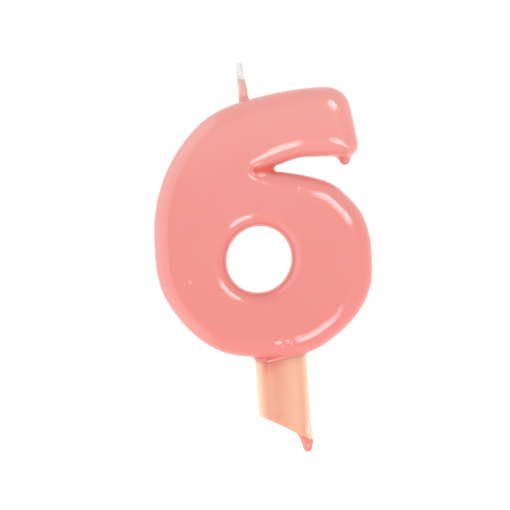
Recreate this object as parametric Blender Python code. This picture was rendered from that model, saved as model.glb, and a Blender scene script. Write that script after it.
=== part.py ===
"""Number candle in the shape of a six, dip-lacquered, on a flat plastic cake pick.

The candle stands upright: +Z is up, the face of the digit looks along -Y and its width runs
along X. The origin is where the pick leaves the foot of the digit, at mid-depth. Lengths are
given in millimetres and are turned into metres where vertices are made.
"""

import math
from dataclasses import dataclass

import bmesh
import bpy
from mathutils import Vector

MM = 0.001

# ---- overall sizes of the digit, measured over the lacquer --------------------------------
DIGIT_HEIGHT = 70.0
DIGIT_WIDTH = 56.5
DIGIT_DEPTH = 12.0
EDGE_ROUND = 4.3            # radius of the rounded edge between the side and either face
COUNTER_WIDTH = 16.5        # round opening of the six, across
COUNTER_HEIGHT = 17.3       # and along its longer diameter
COUNTER_LEAN = 29.0         # degrees that the longer diameter leans to the right
NOTCH_RADIUS = 0.8          # blind end of the gap under the terminal
TERMINAL_TOP_RADIUS = 6.5
TERMINAL_TIP_RADIUS = 3.0
TIGHTEST_CORNER = 1.2       # least corner radius that the rounded edge leaves on a face

# ---- lacquer ------------------------------------------------------------------------------
COAT = 0.4                  # film over the wax
FILM = 0.25                 # thinner film over the pick
WICK_FILM = 0.2             # and over the wick
GAP = 0.3                   # clearance between pieces that touch

# ---- wick ---------------------------------------------------------------------------------
YARN_DIAMETER = 0.7
YARN_COUNT = 3
WICK_GAP = 0.15             # between the yarns, and between them and their sleeve
YARN_LAY = 30.0             # length of one full turn of the yarns
WICK_FREE = 10.0            # from the lacquer up to the tip
WICK_LACQUERED = 5.6        # part of it that the dip reached
WICK_LEAN = 8.5             # degrees to the left of straight up
WICK_STRAIGHT = 3.0         # it goes on straight this far below the crown

# ---- pick ---------------------------------------------------------------------------------
PICK_WIDTH = 12.3
PICK_THICKNESS = 2.0
PICK_LONG_SIDE = 20.9       # right-hand edge, from the origin down to the point
PICK_SHORT_SIDE = 13.9      # left-hand edge
PICK_CUT_BOW = 0.2          # how far the slanting end bows up from straight
PICK_EDGE = 0.25            # small rounding along the blade's edges
PICK_LEAN = 4.1             # degrees; the point swings to the right
ROOT_DEPTH = 10.0           # blade inside the wax
ROOT_WIDTH = 9.4            # at its upper end
KEY_HOLE = 4.0              # hole in the root that the wax fills
KEY_HOLE_HEIGHT = 6.0

# ---- set lacquer runs ---------------------------------------------------------------------
BEAD_DROP = 1.6             # shoulder bead, from the foot down along the pick
BEAD_SLOPE = 11.0           # degrees that its lower edge climbs to the right
BEAD_LEFT = 2.0             # how far it spreads beyond the film at the left
BEAD_RIGHT = 0.9            # and at the right
BEAD_FACES = 0.9            # and on the two faces
TIP_DRIP_RADIUS = 1.45
TIP_DRIP_DROP = 3.9         # below the blade's point
TIP_DRIP_CLIMB = 0.6        # up its sides
TERMINAL_DRIP_RADIUS = 2.2
TERMINAL_DRIP_DROP = 2.3

# ---- fineness -----------------------------------------------------------------------------
OUTLINE_STEP = 3.4          # longest step along the outline
OUTLINE_TURN = 12.0         # most degrees that a step turns
EDGE_STEPS = 4              # steps round the rounded edge
COUNTER_STEPS = 32
YARN_STEP = 1.1


# ---- proportions of the digit -------------------------------------------------------------

@dataclass(frozen=True)
class Knot:
    """A point of the outline: shares of the width and height, and the heading in degrees."""

    across: float
    up: float
    heading: float


@dataclass(frozen=True)
class Corner:
    """A rounded corner, given by the point where its two sides would meet."""

    across: float
    up: float
    heading_in: float
    heading_out: float
    radius: float


@dataclass(frozen=True)
class Notch:
    """The round blind end of a gap that cuts into the digit, given by its centre."""

    across: float
    up: float
    heading_in: float
    heading_out: float
    radius: float


PICK_ACROSS = 0.578         # where the pick's middle stands along the width
COUNTER_ACROSS = 0.480
COUNTER_UP = 0.361
WICK_ACROSS = 0.412         # where the wick leaves the crown
TERMINAL_DRIP_ACROSS = 0.872

# The outline runs down the back of the six, round its bowl into the gap, and back along the
# terminal, so that the wax is always at its left hand.
OUTLINE = (
    Corner(0.877, 1.002, 103.3, 181.9, TERMINAL_TOP_RADIUS),
    Knot(0.410, 0.947, 196.8),      # brow
    Knot(0.196, 0.852, 225.3),      # shoulder
    Knot(0.000, 0.467, 270.0),      # back
    Knot(0.066, 0.196, 301.8),      # flank
    Knot(0.433, 0.000, 360.0),      # foot
    Knot(0.775, 0.044, 393.3),      # heel
    Knot(1.000, 0.319, 450.0),      # belly
    Knot(0.907, 0.578, 496.0),      # bowl shoulder
    Knot(0.801, 0.647, 519.1),      # bowl top
    Notch(0.565, 0.697, 537.0, 377.0, NOTCH_RADIUS),
    Knot(0.701, 0.738, 360.0),      # underside of the terminal
    Corner(0.950, 0.743, 359.5, 463.5, TERMINAL_TIP_RADIUS),
)

# The wick's way down through the wax, in the same shares, from just under the crown.
WICK_ROUTE = ((0.390, 0.77), (0.255, 0.61), (0.180, 0.43), (0.200, 0.23))


# ---- small plane geometry -----------------------------------------------------------------

def heading_vector(degrees):
    """Unit vector of a heading in the XZ plane."""
    angle = math.radians(degrees)
    return Vector((math.cos(angle), math.sin(angle)))


def left_of(degrees):
    """Unit vector to the left of a heading, which is where the wax is."""
    return heading_vector(degrees + 90.0)


def digit_point(across, up):
    """Place of a point given in shares of the digit's width and height."""
    return Vector(((across - PICK_ACROSS) * DIGIT_WIDTH, up * DIGIT_HEIGHT))


def arc(centre, radius, start, end, steps):
    """Points on a circle at headings from start to end, with the circle on the left."""
    span = end - start
    return [centre - left_of(start + span * i / steps) * radius for i in range(steps + 1)]


def curve_between(start, heading, end, next_heading, steps):
    """Inner points of a smooth curve that turns evenly from one heading to the next."""
    turn = (next_heading - heading + 180.0) % 360.0 - 180.0
    half = math.radians(turn) / 2
    reach = (end - start).length / 3
    if abs(half) > 1e-4:
        reach = (end - start).length * (2 / 3) * math.tan(half / 2) / math.sin(half)
    first = start + heading_vector(heading) * reach
    second = end - heading_vector(next_heading) * reach
    points = []
    for i in range(1, steps):
        t = i / steps
        s = 1 - t
        points.append(start * s ** 3 + first * (3 * s * s * t) + second * (3 * s * t * t)
                      + end * t ** 3)
    return points


def grow_loop(loop, distance):
    """A closed loop moved outwards by a distance, with its corners kept sharp."""
    area = sum(a.x * b.y - b.x * a.y for a, b in zip(loop, loop[1:] + loop[:1]))
    sign = 1.0 if area > 0 else -1.0
    grown = []
    for before, here, after in zip(loop[-1:] + loop[:-1], loop, loop[1:] + loop[:1]):
        a = (here - before).normalized()
        b = (after - here).normalized()
        normal_a = Vector((a.y, -a.x)) * sign
        normal_b = Vector((b.y, -b.x)) * sign
        grown.append(here + (normal_a + normal_b) * (distance / (1 + normal_a.dot(normal_b))))
    return grown


# ---- the outline of the six, at any depth inside its surface -------------------------------

def station_ends(station, inset):
    """Points of one station of the outline, moved into the wax by inset."""
    if isinstance(station, Knot):
        return [digit_point(station.across, station.up) + left_of(station.heading) * inset]
    place = digit_point(station.across, station.up)
    if isinstance(station, Notch):
        turn = station.heading_in - station.heading_out
        steps = max(4, math.ceil(turn / (2 * OUTLINE_TURN)))
        return arc(place, -(station.radius + inset), station.heading_in,
                   station.heading_out, steps)
    turn = station.heading_out - station.heading_in
    steps = math.ceil(turn / OUTLINE_TURN)
    inward = left_of(station.heading_in) + left_of(station.heading_out)
    inward /= 1 + left_of(station.heading_in).dot(left_of(station.heading_out))
    radius = max(station.radius - inset, TIGHTEST_CORNER)
    centre = place + inward * (inset + radius)
    return arc(centre, radius, station.heading_in, station.heading_out, steps)


def heading_at_start(station):
    """Heading with which the outline reaches a station."""
    return station.heading if isinstance(station, Knot) else station.heading_in


def heading_at_end(station):
    """Heading with which the outline leaves a station."""
    return station.heading if isinstance(station, Knot) else station.heading_out


def digit_outline(inset):
    """Closed outline of the six, moved into the wax by inset; its point count never changes."""
    points = []
    for station, after in zip(OUTLINE, OUTLINE[1:] + OUTLINE[:1]):
        leave, arrive = heading_at_end(station), heading_at_start(after)
        chord = (station_ends(after, 0)[0] - station_ends(station, 0)[-1]).length
        turn = abs((arrive - leave + 180.0) % 360.0 - 180.0)
        steps = max(math.ceil(chord / OUTLINE_STEP), math.ceil(turn / OUTLINE_TURN))
        ends = station_ends(station, inset)
        points += ends
        points += curve_between(ends[-1], leave, station_ends(after, inset)[0], arrive, steps)
    return points


def counter_outline(inset):
    """Round opening of the six, made larger by inset on every side."""
    centre = digit_point(COUNTER_ACROSS, COUNTER_UP)
    long_way = heading_vector(90.0 - COUNTER_LEAN) * (COUNTER_HEIGHT / 2 + inset)
    short_way = heading_vector(-COUNTER_LEAN) * (COUNTER_WIDTH / 2 + inset)
    turns = [2 * math.pi * i / COUNTER_STEPS for i in range(COUNTER_STEPS)]
    return [centre + short_way * math.cos(t) + long_way * math.sin(t) for t in turns]


def crown_height(x):
    """Height of the outline's upper edge at x."""
    loop = digit_outline(0)
    heights = []
    for a, b in zip(loop, loop[1:] + loop[:1]):
        if min(a.x, b.x) <= x < max(a.x, b.x):
            heights.append(a.y + (b.y - a.y) * (x - a.x) / (b.x - a.x))
    return max(heights)


# ---- meshes -------------------------------------------------------------------------------

def new_object(name, mesh):
    """Link a mesh object of that name into the scene."""
    thing = bpy.data.objects.new(name, mesh)
    bpy.context.collection.objects.link(thing)
    return thing


def mesh_from(bm, name):
    """Write a finished bmesh, faces outwards, into a new mesh."""
    bmesh.ops.recalc_face_normals(bm, faces=bm.faces)
    mesh = bpy.data.meshes.new(name)
    bm.to_mesh(mesh)
    bm.free()
    return mesh


def bridge(bm, ring, after):
    """Join two rings of vertices of the same length by a band of faces."""
    count = len(ring)
    for i in range(count):
        j = (i + 1) % count
        bm.faces.new((ring[i], ring[j], after[j], after[i]))


def stack_mesh(name, slices):
    """Closed solid from slices along Y: each is a depth and its loops, the outer one first."""
    bm = bmesh.new()
    levels = []
    for depth, loops in slices:
        levels.append([[bm.verts.new(Vector((p.x, depth, p.y)) * MM) for p in loop]
                       for loop in loops])
    for level, after in zip(levels, levels[1:]):
        for ring, ring_after in zip(level, after):
            bridge(bm, ring, ring_after)
    for level in (levels[0], levels[-1]):
        rims = [bm.edges.get((a, b)) for ring in level for a, b in zip(ring, ring[1:] + ring[:1])]
        bmesh.ops.triangle_fill(bm, edges=rims, use_beauty=True)
    return mesh_from(bm, name)


def loft_mesh(name, rings):
    """Closed solid through rings of points in space, with its two ends filled."""
    bm = bmesh.new()
    levels = [[bm.verts.new(Vector(p) * MM) for p in ring] for ring in rings]
    for ring, after in zip(levels, levels[1:]):
        bridge(bm, ring, after)
    bm.faces.new(levels[0])
    bm.faces.new(levels[-1])
    return mesh_from(bm, name)


def digit_mesh(name, inset):
    """Solid six whose whole surface lies inset below the lacquer's, or above it if negative."""
    half = DIGIT_DEPTH / 2
    profile = []
    for i in range(EDGE_STEPS + 1):
        angle = math.pi / 2 * i / EDGE_STEPS
        radius = EDGE_ROUND - inset
        profile.append((EDGE_ROUND - radius * math.cos(angle),
                        half - EDGE_ROUND + radius * math.sin(angle)))
    profile = [(into, -depth) for into, depth in reversed(profile)] + profile
    slices = [(depth, (digit_outline(into), counter_outline(into))) for into, depth in profile]
    return stack_mesh(name, slices)


def tube_mesh(name, points, radius, sides):
    """Tube along a path in which no part runs along Y."""
    rings = []
    for i, here in enumerate(points):
        ahead = points[min(i + 1, len(points) - 1)] - points[max(i - 1, 0)]
        across = ahead.cross(Vector((0, 1, 0))).normalized()
        over = across.cross(ahead).normalized()
        turns = [2 * math.pi * k / sides for k in range(sides)]
        rings.append([here + (across * math.cos(t) + over * math.sin(t)) * radius
                      for t in turns])
    return loft_mesh(name, rings)


def turned_mesh(name, foot, direction, profile, sides):
    """Round solid about an axis, from (distance along the axis, radius) pairs."""
    side = direction.cross(Vector((0, 1, 0))).normalized()
    over = Vector((0, 1, 0))
    turns = [2 * math.pi * k / sides for k in range(sides)]
    rings = [[foot + direction * along + (side * math.cos(t) + over * math.sin(t)) * radius
              for t in turns] for along, radius in profile]
    return loft_mesh(name, rings)


def cutter(name, mesh):
    """A guide solid that only cuts other pieces."""
    guide = new_object(name, mesh)
    guide.hide_render = True
    guide.display_type = 'WIRE'
    return guide


def cut(thing, *guides):
    """Subtract guide solids from a piece with live Boolean modifiers."""
    for guide in guides:
        modifier = thing.modifiers.new("less_" + guide.name, 'BOOLEAN')
        modifier.operation = 'DIFFERENCE'
        modifier.solver = 'EXACT'
        modifier.object = guide


def finish(thing, colour, roughness, transmission=0.0):
    """Give a piece its own material and smooth shading with crisp edges."""
    material = bpy.data.materials.new(thing.name)
    material.use_nodes = True
    shader = material.node_tree.nodes["Principled BSDF"]
    shader.inputs["Base Color"].default_value = (*colour, 1.0)
    shader.inputs["Roughness"].default_value = roughness
    shader.inputs["Metallic"].default_value = 0.0
    shader.inputs["Transmission Weight"].default_value = transmission
    thing.data.materials.append(material)
    thing.data.shade_smooth()
    thing.data.set_sharp_from_angle(angle=math.radians(35))


# ---- wick ---------------------------------------------------------------------------------

def lay_radius():
    """Distance from the wick's middle to the middle of each yarn."""
    return (YARN_DIAMETER + WICK_GAP) / (2 * math.sin(math.pi / YARN_COUNT))


def wick_radius():
    """Radius of the laid yarns together."""
    return lay_radius() + YARN_DIAMETER / 2


def wick_exit():
    """Point where the wick's middle comes out of the lacquer."""
    x = digit_point(WICK_ACROSS, 1).x
    return Vector((x, 0, crown_height(x)))


def wick_direction():
    """Direction of the free end of the wick."""
    lean = math.radians(WICK_LEAN)
    return Vector((-math.sin(lean), 0, math.cos(lean)))


def wick_path(past_tip, past_end):
    """Middle line of the wick from its tip down into the wax, both ends drawn out a little."""
    exit_point = wick_exit()
    tip = exit_point + wick_direction() * (WICK_FREE + past_tip)
    stops = [exit_point - wick_direction() * WICK_STRAIGHT]
    for across, up in WICK_ROUTE:
        place = digit_point(across, up)
        stops.append(Vector((place.x, 0, place.y)))
    stops[-1] += (stops[-1] - stops[-2]).normalized() * past_end
    ways = [-wick_direction()]
    for before, after in zip(stops[:-2], stops[2:]):
        ways.append((after - before).normalized())
    ways.append((stops[-1] - stops[-2]).normalized())
    points = [tip]
    straight = (stops[0] - tip).length
    count = math.ceil(straight / YARN_STEP)
    points += [tip.lerp(stops[0], i / count) for i in range(1, count + 1)]
    for start, way, end, next_way in zip(stops, ways, stops[1:], ways[1:]):
        reach = (end - start).length / 3
        count = math.ceil((end - start).length / YARN_STEP)
        for i in range(1, count + 1):
            t = i / count
            s = 1 - t
            points.append(start * s ** 3 + (start + way * reach) * (3 * s * s * t)
                          + (end - next_way * reach) * (3 * s * t * t) + end * t ** 3)
    return points


def yarn_path(index):
    """Middle line of one yarn, laid round the wick's middle line."""
    middle = wick_path(0, 0)
    travelled = 0.0
    points = []
    for i, here in enumerate(middle):
        if i:
            travelled += (here - middle[i - 1]).length
        ahead = (middle[min(i + 1, len(middle) - 1)] - middle[max(i - 1, 0)]).normalized()
        across = ahead.cross(Vector((0, 1, 0))).normalized()
        turn = 2 * math.pi * (travelled / YARN_LAY + index / YARN_COUNT)
        points.append(here + (across * math.cos(turn) + Vector((0, 1, 0)) * math.sin(turn))
                      * lay_radius())
    return points


def make_wick(digit_guide):
    """The laid yarns and the sleeve of lacquer round their lower free part."""
    for index in range(YARN_COUNT):
        name = f"wick_yarn_{index + 1}"
        yarn = new_object(name, tube_mesh(name, yarn_path(index), YARN_DIAMETER / 2, 8))
        finish(yarn, (0.90, 0.86, 0.78), 0.9)
    bore = wick_radius() + WICK_GAP
    outer = bore + WICK_FILM
    profile = [(-2.0, outer + 0.9), (0.0, outer + 0.9), (0.8, outer + 0.25),
               (1.8, outer), (WICK_LACQUERED - 0.3, outer), (WICK_LACQUERED, outer - WICK_FILM / 3)]
    name = "wick_lacquer_sleeve"
    sleeve = new_object(name, turned_mesh(name, wick_exit(), wick_direction(), profile, 20))
    reach = [(-5.0, bore), (WICK_LACQUERED + 1.0, bore)]
    sleeve_bore = cutter("sleeve_bore", turned_mesh("sleeve_bore", wick_exit(),
                                                    wick_direction(), reach, 16))
    cut(sleeve, digit_guide, sleeve_bore)
    finish(sleeve, (0.88, 0.42, 0.40), 0.2)


# ---- pick ---------------------------------------------------------------------------------

def pick_place(across, along):
    """Place in the XZ plane of a point of the leaning blade."""
    lean = math.radians(PICK_LEAN)
    return Vector((across * math.cos(lean) - along * math.sin(lean),
                   across * math.sin(lean) + along * math.cos(lean)))


def blade_outline():
    """Blade and root: two long edges, a bowed slanting end and a tapered root."""
    half = PICK_WIDTH / 2
    taper = ROOT_WIDTH / 2
    neck = ROOT_DEPTH * 0.25
    points = [(half, neck), (taper + 0.5, ROOT_DEPTH - 1.2), (taper - 0.7, ROOT_DEPTH),
              (0.7 - taper, ROOT_DEPTH), (-taper - 0.5, ROOT_DEPTH - 1.2), (-half, neck)]
    steps = 8
    for i in range(steps + 1):
        t = i / steps
        fall = PICK_SHORT_SIDE + (PICK_LONG_SIDE - PICK_SHORT_SIDE) * t
        points.append((half * (2 * t - 1), PICK_CUT_BOW * math.sin(math.pi * t) - fall))
    return [pick_place(*p) for p in points]


def key_outline(grow):
    """Round hole through the root, its radius made smaller by grow."""
    centre = pick_place(0, KEY_HOLE_HEIGHT)
    return [centre + heading_vector(360 * i / 20) * (KEY_HOLE / 2 - grow) for i in range(20)]


def blade_mesh(name, grow, keyed):
    """The blade with every face moved outwards by grow, with or without its key hole."""
    half = PICK_THICKNESS / 2 + grow
    slices = []
    for side in (-1, 1):
        steps = [(half, grow - PICK_EDGE), (half - PICK_EDGE, grow)]
        for depth, distance in (steps if side < 0 else reversed(steps)):
            loops = [grow_loop(blade_outline(), distance)]
            if keyed:
                loops.append(key_outline(distance))
            slices.append((side * depth, loops))
    return stack_mesh(name, slices)


def rounded_rectangle(left, right, half_depth, radius):
    """Ring of (across, depth) points with rounded corners."""
    steps = 4
    points = []
    for k, (x, y) in enumerate(((right, half_depth), (left, half_depth),
                                (left, -half_depth), (right, -half_depth))):
        middle_x = x - radius if x > 0 else x + radius
        middle_y = y - radius if y > 0 else y + radius
        for i in range(steps + 1):
            angle = math.pi / 2 * (k + i / steps)
            points.append((middle_x + radius * math.cos(angle),
                           middle_y + radius * math.sin(angle)))
    return points


def bead_mesh(name):
    """Collar of lacquer round the top of the pick, spreading up to the foot of the digit."""
    skin = GAP + FILM
    half = PICK_WIDTH / 2 + skin
    half_depth = PICK_THICKNESS / 2 + skin
    rings = []
    for along, spread in ((-BEAD_DROP - 3.0, 0.0), (-BEAD_DROP, 0.0), (-BEAD_DROP * 0.7, 0.07),
                          (-BEAD_DROP * 0.4, 0.28), (0.0, 0.8), (1.0, 1.0), (5.0, 1.0)):
        ring = []
        for across, depth in rounded_rectangle(-half - BEAD_LEFT * spread,
                                               half + BEAD_RIGHT * spread,
                                               half_depth + BEAD_FACES * spread, 0.8):
            place = pick_place(across, along)
            ring.append(Vector((place.x, depth, place.y)))
        rings.append(ring)
    return loft_mesh(name, rings)


def slab_mesh(name, low, high):
    """Wide slab parallel to the bead's lower edge, between two heights at the origin."""
    climb = math.tan(math.radians(BEAD_SLOPE))
    reach = DIGIT_WIDTH
    rings = []
    for depth in (-DIGIT_DEPTH, DIGIT_DEPTH):
        rings.append([Vector((x, depth, z + x * climb))
                      for x, z in ((-reach, low), (reach, low), (reach, high), (-reach, high))])
    return loft_mesh(name, rings)


def make_pick(digit_guide):
    """The blade, its film, the shoulder bead and the drip at its point."""
    pick = new_object("pick", blade_mesh("pick", 0, True))
    finish(pick, (0.95, 0.72, 0.50), 0.35, 0.4)

    skin = GAP + FILM
    room = cutter("pick_room", blade_mesh("pick_room", GAP, False))
    above = cutter("above_film", slab_mesh("above_film", -BEAD_DROP, DIGIT_HEIGHT))
    below = cutter("below_bead", slab_mesh("below_bead", -DIGIT_HEIGHT, GAP - BEAD_DROP))
    film = new_object("pick_lacquer_film", blade_mesh("pick_lacquer_film", skin, False))
    cut(film, room, above)
    finish(film, (0.93, 0.50, 0.36), 0.15, 0.5)

    bead = new_object("pick_shoulder_bead", bead_mesh("pick_shoulder_bead"))
    cut(bead, room, digit_guide, below)
    finish(bead, (0.88, 0.36, 0.30), 0.15)

    tip = pick_place(PICK_WIDTH / 2 + GAP + FILM - TIP_DRIP_RADIUS, -PICK_LONG_SIDE)
    foot = Vector((tip.x, 0, tip.y))
    r = TIP_DRIP_RADIUS
    profile = [(-TIP_DRIP_CLIMB, r * 0.75), (0.0, r * 1.1), (TIP_DRIP_DROP * 0.35, r),
               (TIP_DRIP_DROP * 0.7, r * 0.75), (TIP_DRIP_DROP * 0.92, r * 0.42),
               (TIP_DRIP_DROP, r * 0.12)]
    drip = new_object("pick_tip_drip", turned_mesh("pick_tip_drip", foot,
                                                   Vector((0, 0, -1)), profile, 20))
    clear = cutter("drip_room", blade_mesh("drip_room", skin + GAP, False))
    cut(drip, clear)
    finish(drip, (0.87, 0.34, 0.29), 0.15)


# ---- digit --------------------------------------------------------------------------------

def make_digit():
    """The wax casting and the lacquer round it, both open at the wick and at the pick."""
    wick_room = cutter("wick_room", tube_mesh("wick_room", wick_path(2.0, GAP),
                                              wick_radius() + GAP, 12))
    pick_slot = cutter("pick_slot", blade_mesh("pick_slot", GAP, True))
    wax = new_object("wax_digit", digit_mesh("wax_digit", COAT + GAP))
    cut(wax, wick_room, pick_slot)
    finish(wax, (0.91, 0.40, 0.36), 0.5)

    cavity = cutter("coat_cavity", digit_mesh("coat_cavity", COAT))
    coat = new_object("lacquer_coat", digit_mesh("lacquer_coat", 0))
    cut(coat, cavity, wick_room, pick_slot)
    finish(coat, (0.90, 0.32, 0.28), 0.12)


def make_terminal_drip(digit_guide):
    """Drop of lacquer that set under the terminal's tip."""
    underside = digit_point(TERMINAL_DRIP_ACROSS, OUTLINE[-1].up)
    foot = Vector((underside.x, 0, underside.y))
    r, drop = TERMINAL_DRIP_RADIUS, TERMINAL_DRIP_DROP
    profile = [(-1.2, r), (0.0, r), (drop * 0.35, r * 0.8), (drop * 0.65, r * 0.55),
               (drop * 0.88, r * 0.32), (drop, r * 0.1)]
    drip = new_object("terminal_drip", turned_mesh("terminal_drip", foot,
                                                   Vector((0, 0, -1)), profile, 20))
    cut(drip, digit_guide)
    finish(drip, (0.85, 0.22, 0.18), 0.15)


def main():
    """Clear the scene and build the candle."""
    for thing in list(bpy.data.objects):
        bpy.data.objects.remove(thing, do_unlink=True)
    digit_guide = cutter("digit_clearance", digit_mesh("digit_clearance", -GAP))
    make_digit()
    make_wick(digit_guide)
    make_pick(digit_guide)
    make_terminal_drip(digit_guide)
    candle = bpy.data.objects.new("number_candle", None)
    bpy.context.collection.objects.link(candle)
    for thing in list(bpy.data.objects):
        if thing.type == 'MESH':
            thing.parent = candle


main()
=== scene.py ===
"""Looks of the lacquered number candle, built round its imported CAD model.

The dip coat and the skin on the pick are contoured from smooth distance fields, the wick is laid
by Geometry Nodes, and the wax and the pick under them keep their CAD shapes. Sizes inside the
classes are in millimetres, in the CAD's own frame, and become metres where vertices are made.
"""
import logging
import math
from collections.abc import Callable
from dataclasses import dataclass
from enum import Enum
from itertools import product

import bpy
import numpy as np
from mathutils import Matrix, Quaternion, Vector


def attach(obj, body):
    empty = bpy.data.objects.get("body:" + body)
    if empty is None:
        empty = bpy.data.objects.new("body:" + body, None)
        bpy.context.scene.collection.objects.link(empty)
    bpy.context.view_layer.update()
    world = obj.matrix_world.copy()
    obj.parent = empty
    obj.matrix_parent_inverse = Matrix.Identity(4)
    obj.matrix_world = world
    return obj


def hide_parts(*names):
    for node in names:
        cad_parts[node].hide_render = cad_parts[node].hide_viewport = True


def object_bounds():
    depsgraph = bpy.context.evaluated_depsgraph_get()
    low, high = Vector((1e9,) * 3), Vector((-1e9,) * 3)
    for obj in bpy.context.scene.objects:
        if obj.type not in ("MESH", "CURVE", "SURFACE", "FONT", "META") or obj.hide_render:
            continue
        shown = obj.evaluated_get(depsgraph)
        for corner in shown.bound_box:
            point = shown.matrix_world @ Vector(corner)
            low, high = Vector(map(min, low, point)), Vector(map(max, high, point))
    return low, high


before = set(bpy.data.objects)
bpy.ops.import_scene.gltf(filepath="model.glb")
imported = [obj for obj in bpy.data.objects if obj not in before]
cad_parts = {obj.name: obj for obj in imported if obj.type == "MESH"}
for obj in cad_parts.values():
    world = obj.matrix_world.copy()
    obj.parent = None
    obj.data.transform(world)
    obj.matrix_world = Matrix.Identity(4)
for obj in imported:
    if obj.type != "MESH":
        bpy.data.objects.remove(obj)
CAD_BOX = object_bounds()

MM = 0.001
BODY = "root"
log = logging.getLogger("candle")

Array = np.ndarray
Field = Callable[[Array], Array]
Socket = bpy.types.NodeSocket
Material = bpy.types.Material
Thing = bpy.types.Object
Pair = tuple[float, float]
Triple = tuple[float, float, float]
Waves = tuple[tuple[float, ...], ...]


class Slot(Enum):
    """Names of the record's material slots for the finished pieces."""

    LACQUER = "lacquer"
    THIN_LACQUER = "thin_lacquer"
    COTTON = "wick_cotton"


# ---- plane geometry of the six ----

def heading_vector(degrees: float) -> Array:
    """Unit vector of a heading in the XZ plane."""
    return np.array((math.cos(math.radians(degrees)), math.sin(math.radians(degrees))))


def left_of(degrees: float) -> Array:
    """Unit vector to the left of a heading, where the wax is."""
    return heading_vector(degrees + 90.0)


def bend(start: Array, first: Array, second: Array, end: Array,
         shares: Array) -> list[Array]:
    """Points at shares of a curve that leaves start toward first and reaches end from second."""
    return [start * (1 - t) ** 3 + first * (3 * (1 - t) * (1 - t) * t)
            + second * (3 * (1 - t) * t * t) + end * t ** 3 for t in shares]


def new_mesh(name: str, points: list, edges: list, faces: list) -> bpy.types.Mesh:
    """Mesh from points in metres."""
    mesh = bpy.data.meshes.new(name)
    mesh.from_pydata(points, edges, faces)
    return mesh


def new_object(name: str, data: bpy.types.ID) -> Thing:
    """Object in the scene that shows some data."""
    thing = bpy.data.objects.new(name, data)
    bpy.context.scene.collection.objects.link(thing)
    return thing


def from_stretch(places: Array, start: Array, end: Array) -> tuple[Array, Array]:
    """Share along a stretch that is nearest to each place, and the distance from there."""
    along = end - start
    t = np.clip((places - start) @ along / (along @ along), 0, 1)
    return t, np.sqrt(((places - start - t[:, None] * along) ** 2).sum(1))


@dataclass(frozen=True)
class Station:
    """A place on the outline: a knot, a rounded corner, or the blind end of a gap.

    Shares are of the digit's width and height. A radius of 0 makes a knot, a positive one
    rounds the corner where its two sides would meet, and a negative one is a blind end.
    """

    across: float
    up: float
    heading_in: float
    heading_out: float
    radius: float = 0.0


def knot(across: float, up: float, heading: float) -> Station:
    """Station that the outline passes with one heading."""
    return Station(across, up, heading, heading)


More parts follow.
